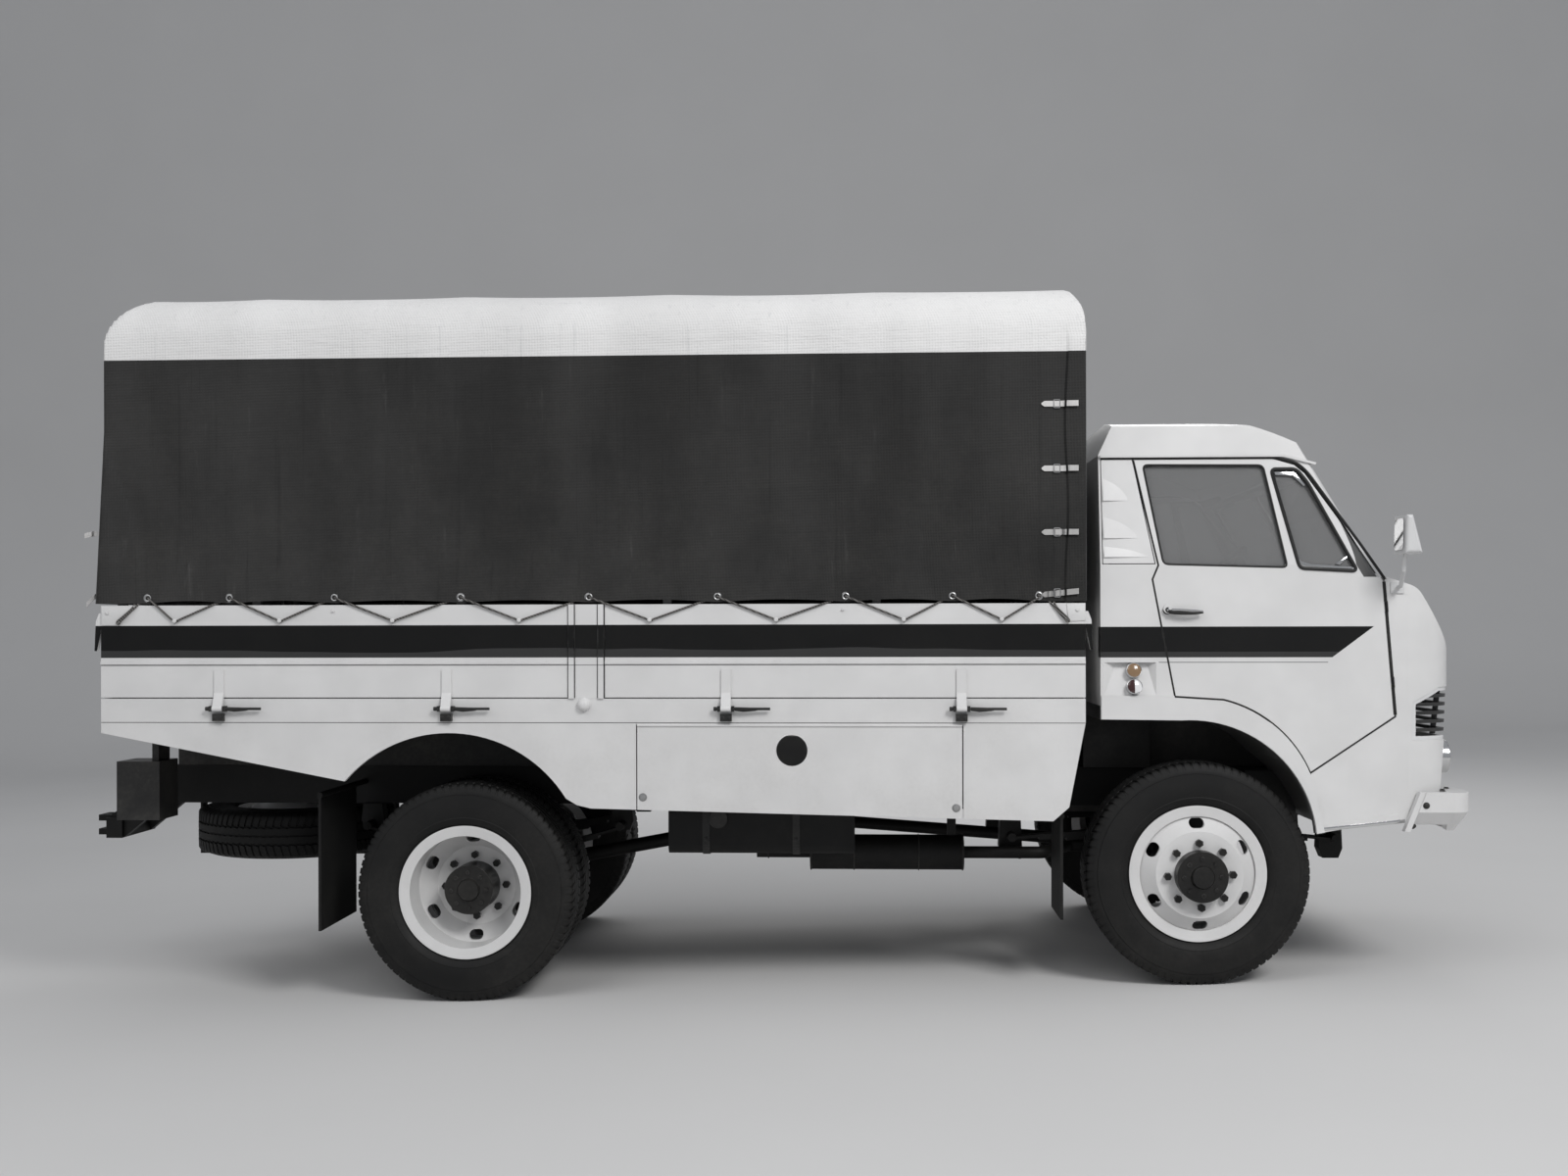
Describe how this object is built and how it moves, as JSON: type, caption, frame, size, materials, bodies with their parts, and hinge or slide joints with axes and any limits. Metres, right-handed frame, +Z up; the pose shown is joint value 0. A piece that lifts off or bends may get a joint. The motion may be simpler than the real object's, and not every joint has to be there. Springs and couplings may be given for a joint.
{
  "type": "military cargo truck",
  "caption": "Four-wheel-drive forward-control cargo truck with dropside bed, canvas tilt, side lockers and tow jaw.",
  "frame": {"origin": "middle of the whole truck on the ground", "axes": "+X forward, +Y to the left, +Z up"},
  "size_m": [6.419, 2.64, 3.2126],
  "materials": {
    "tyre": "matte",
    "wheel_paint": "satin",
    "chassis_black": "satin",
    "engine_grey": "matte",
    "body_paint": "satin",
    "bed_paint": "satin",
    "deck_wood": "matte",
    "canvas": "matte",
    "bow_paint": "satin",
    "glass": "polished",
    "lamp_glass": "polished",
    "tail_lamp_black": "satin",
    "grille_trim": "polished",
    "mirror_black": "matte",
    "flap_rubber": "matte",
    "seat_cover": "satin",
    "cab_trim": "matte"
  },
  "bodies": {
    "root": {"front_axle": "chassis_black", "rear_axle": "chassis_black", "leaf_springs": "chassis_black", "chassis_frame": "chassis_black", "engine": "engine_grey", "radiator": "chassis_black", "driveline": "chassis_black", "tanks": "chassis_black", "exhaust": "chassis_black", "spare_wheel": "tyre", "spare_carrier": "chassis_black", "tow_coupling": "chassis_black", "tail_lamps": "tail_lamp_black", "mudflaps": "flap_rubber", "bumper": "chassis_black", "cab_shell": "body_paint", "windscreen": "glass", "grille": "grille_trim", "front_lamps": "lamp_glass", "cab_interior": "cab_trim", "seats": "seat_cover", "mirrors": "mirror_black", "bed_deck": "bed_paint", "bed_uprights": "bed_paint", "side_skirts": "bed_paint", "canvas_bows": "bow_paint", "canvas_cover": "canvas"},
    "wheel_rear_right": {"tyre_rear_right": "tyre", "rim_rear_right": "wheel_paint"},
    "knuckle_right": {"knuckle_right": "chassis_black"},
    "wheel_front_right": {"tyre_front_right": "tyre", "rim_front_right": "wheel_paint"},
    "door_right": {"door_right": "body_paint", "door_glass_right": "glass"},
    "board_rear_right": {"board_rear_right": "bed_paint"},
    "board_front_right": {"board_front_right": "bed_paint"},
    "locker_flap_right": {"locker_flap_right": "bed_paint"},
    "wheel_rear_left": {"tyre_rear_left": "tyre", "rim_rear_left": "wheel_paint"},
    "knuckle_left": {"knuckle_left": "chassis_black"},
    "wheel_front_left": {"tyre_front_left": "tyre", "rim_front_left": "wheel_paint"},
    "door_left": {"door_left": "body_paint", "door_glass_left": "glass"},
    "board_rear_left": {"board_rear_left": "bed_paint"},
    "board_front_left": {"board_front_left": "bed_paint"},
    "locker_flap_left": {"locker_flap_left": "bed_paint"},
    "tie_rod": {"tie_rod": "chassis_black"},
    "steering_wheel": {"steering_wheel": "cab_trim"},
    "tailgate": {"tailgate": "bed_paint"}
  },
  "joints": [
    {"name": "roll_rear_right", "type": "hinge", "parent": "root", "child": "wheel_rear_right", "pos_m": [-1.10419, -0.95, 0.4775], "axis": [0, 1, 0], "continuous": true},
    {"name": "steer_right", "type": "hinge", "parent": "root", "child": "knuckle_right", "pos_m": [2.07081, -0.78, 0.4775], "axis": [0, 0, 1], "range_deg": [-30, 30]},
    {"name": "roll_front_right", "type": "hinge", "parent": "knuckle_right", "child": "wheel_front_right", "pos_m": [2.07081, -0.95, 0.4775], "axis": [0, 1, 0], "continuous": true},
    {"name": "door_swing_right", "type": "hinge", "parent": "root", "child": "door_right", "pos_m": [2.90784, -1.1, 1.12889], "axis": [-0.0505, 0, 0.9987], "range_deg": [0, 65]},
    {"name": "flap_swing_right", "type": "hinge", "parent": "root", "child": "locker_flap_right", "pos_m": [-0.31277, -1.15, 1.19139], "axis": [0.9995, 0, -0.0309], "range_deg": [-80, 0]},
    {"name": "board_swing_rear_right", "type": "hinge", "parent": "root", "child": "board_rear_right", "pos_m": [-2.12867, -1.172, 1.31954], "axis": [0.9995, 0, -0.0309], "range_deg": [0, 175]},
    {"name": "board_swing_front_right", "type": "hinge", "parent": "root", "child": "board_front_right", "pos_m": [0.07727, -1.172, 1.25138], "axis": [0.9995, 0, -0.0309], "range_deg": [0, 175]},
    {"name": "roll_rear_left", "type": "hinge", "parent": "root", "child": "wheel_rear_left", "pos_m": [-1.10419, 0.95, 0.4775], "axis": [0, 1, 0], "continuous": true},
    {"name": "steer_left", "type": "hinge", "parent": "root", "child": "knuckle_left", "pos_m": [2.07081, 0.78, 0.4775], "axis": [0, 0, 1], "range_deg": [-30, 30]},
    {"name": "roll_front_left", "type": "hinge", "parent": "knuckle_left", "child": "wheel_front_left", "pos_m": [2.07081, 0.95, 0.4775], "axis": [0, 1, 0], "continuous": true},
    {"name": "door_swing_left", "type": "hinge", "parent": "root", "child": "door_left", "pos_m": [2.90784, 1.1, 1.12889], "axis": [0.0505, 0, -0.9987], "range_deg": [0, 65]},
    {"name": "flap_swing_left", "type": "hinge", "parent": "root", "child": "locker_flap_left", "pos_m": [-0.31277, 1.15, 1.19139], "axis": [-0.9995, 0, 0.0309], "range_deg": [-80, 0]},
    {"name": "board_swing_rear_left", "type": "hinge", "parent": "root", "child": "board_rear_left", "pos_m": [-2.12867, 1.172, 1.31954], "axis": [-0.9995, 0, 0.0309], "range_deg": [0, 175]},
    {"name": "board_swing_front_left", "type": "hinge", "parent": "root", "child": "board_front_left", "pos_m": [0.07727, 1.172, 1.25138], "axis": [-0.9995, 0, 0.0309], "range_deg": [0, 175]},
    {"name": "tailgate_swing", "type": "hinge", "parent": "root", "child": "tailgate", "pos_m": [-2.67541, 0, 1.33644], "axis": [0, -1, 0], "range_deg": [0, 110]},
    {"name": "tie_rod_turn", "type": "hinge", "parent": "knuckle_left", "child": "tie_rod", "pos_m": [1.85581, 0.78, 0.3925], "axis": [0, 0, 1], "range_deg": [-30, 30]},
    {"name": "steering_wheel_turn", "type": "hinge", "parent": "root", "child": "steering_wheel", "pos_m": [2.5364, 0.52, 1.73565], "axis": [-0.6997, 0, 0.7145], "range_deg": [-360, 360]}
  ],
  "couplings": [
    {"joint": "steer_right", "follows": "steer_left", "ratio": 1},
    {"joint": "tie_rod_turn", "follows": "steer_left", "ratio": -1},
    {"joint": "steering_wheel_turn", "follows": "steer_left", "ratio": 12}
  ]
}
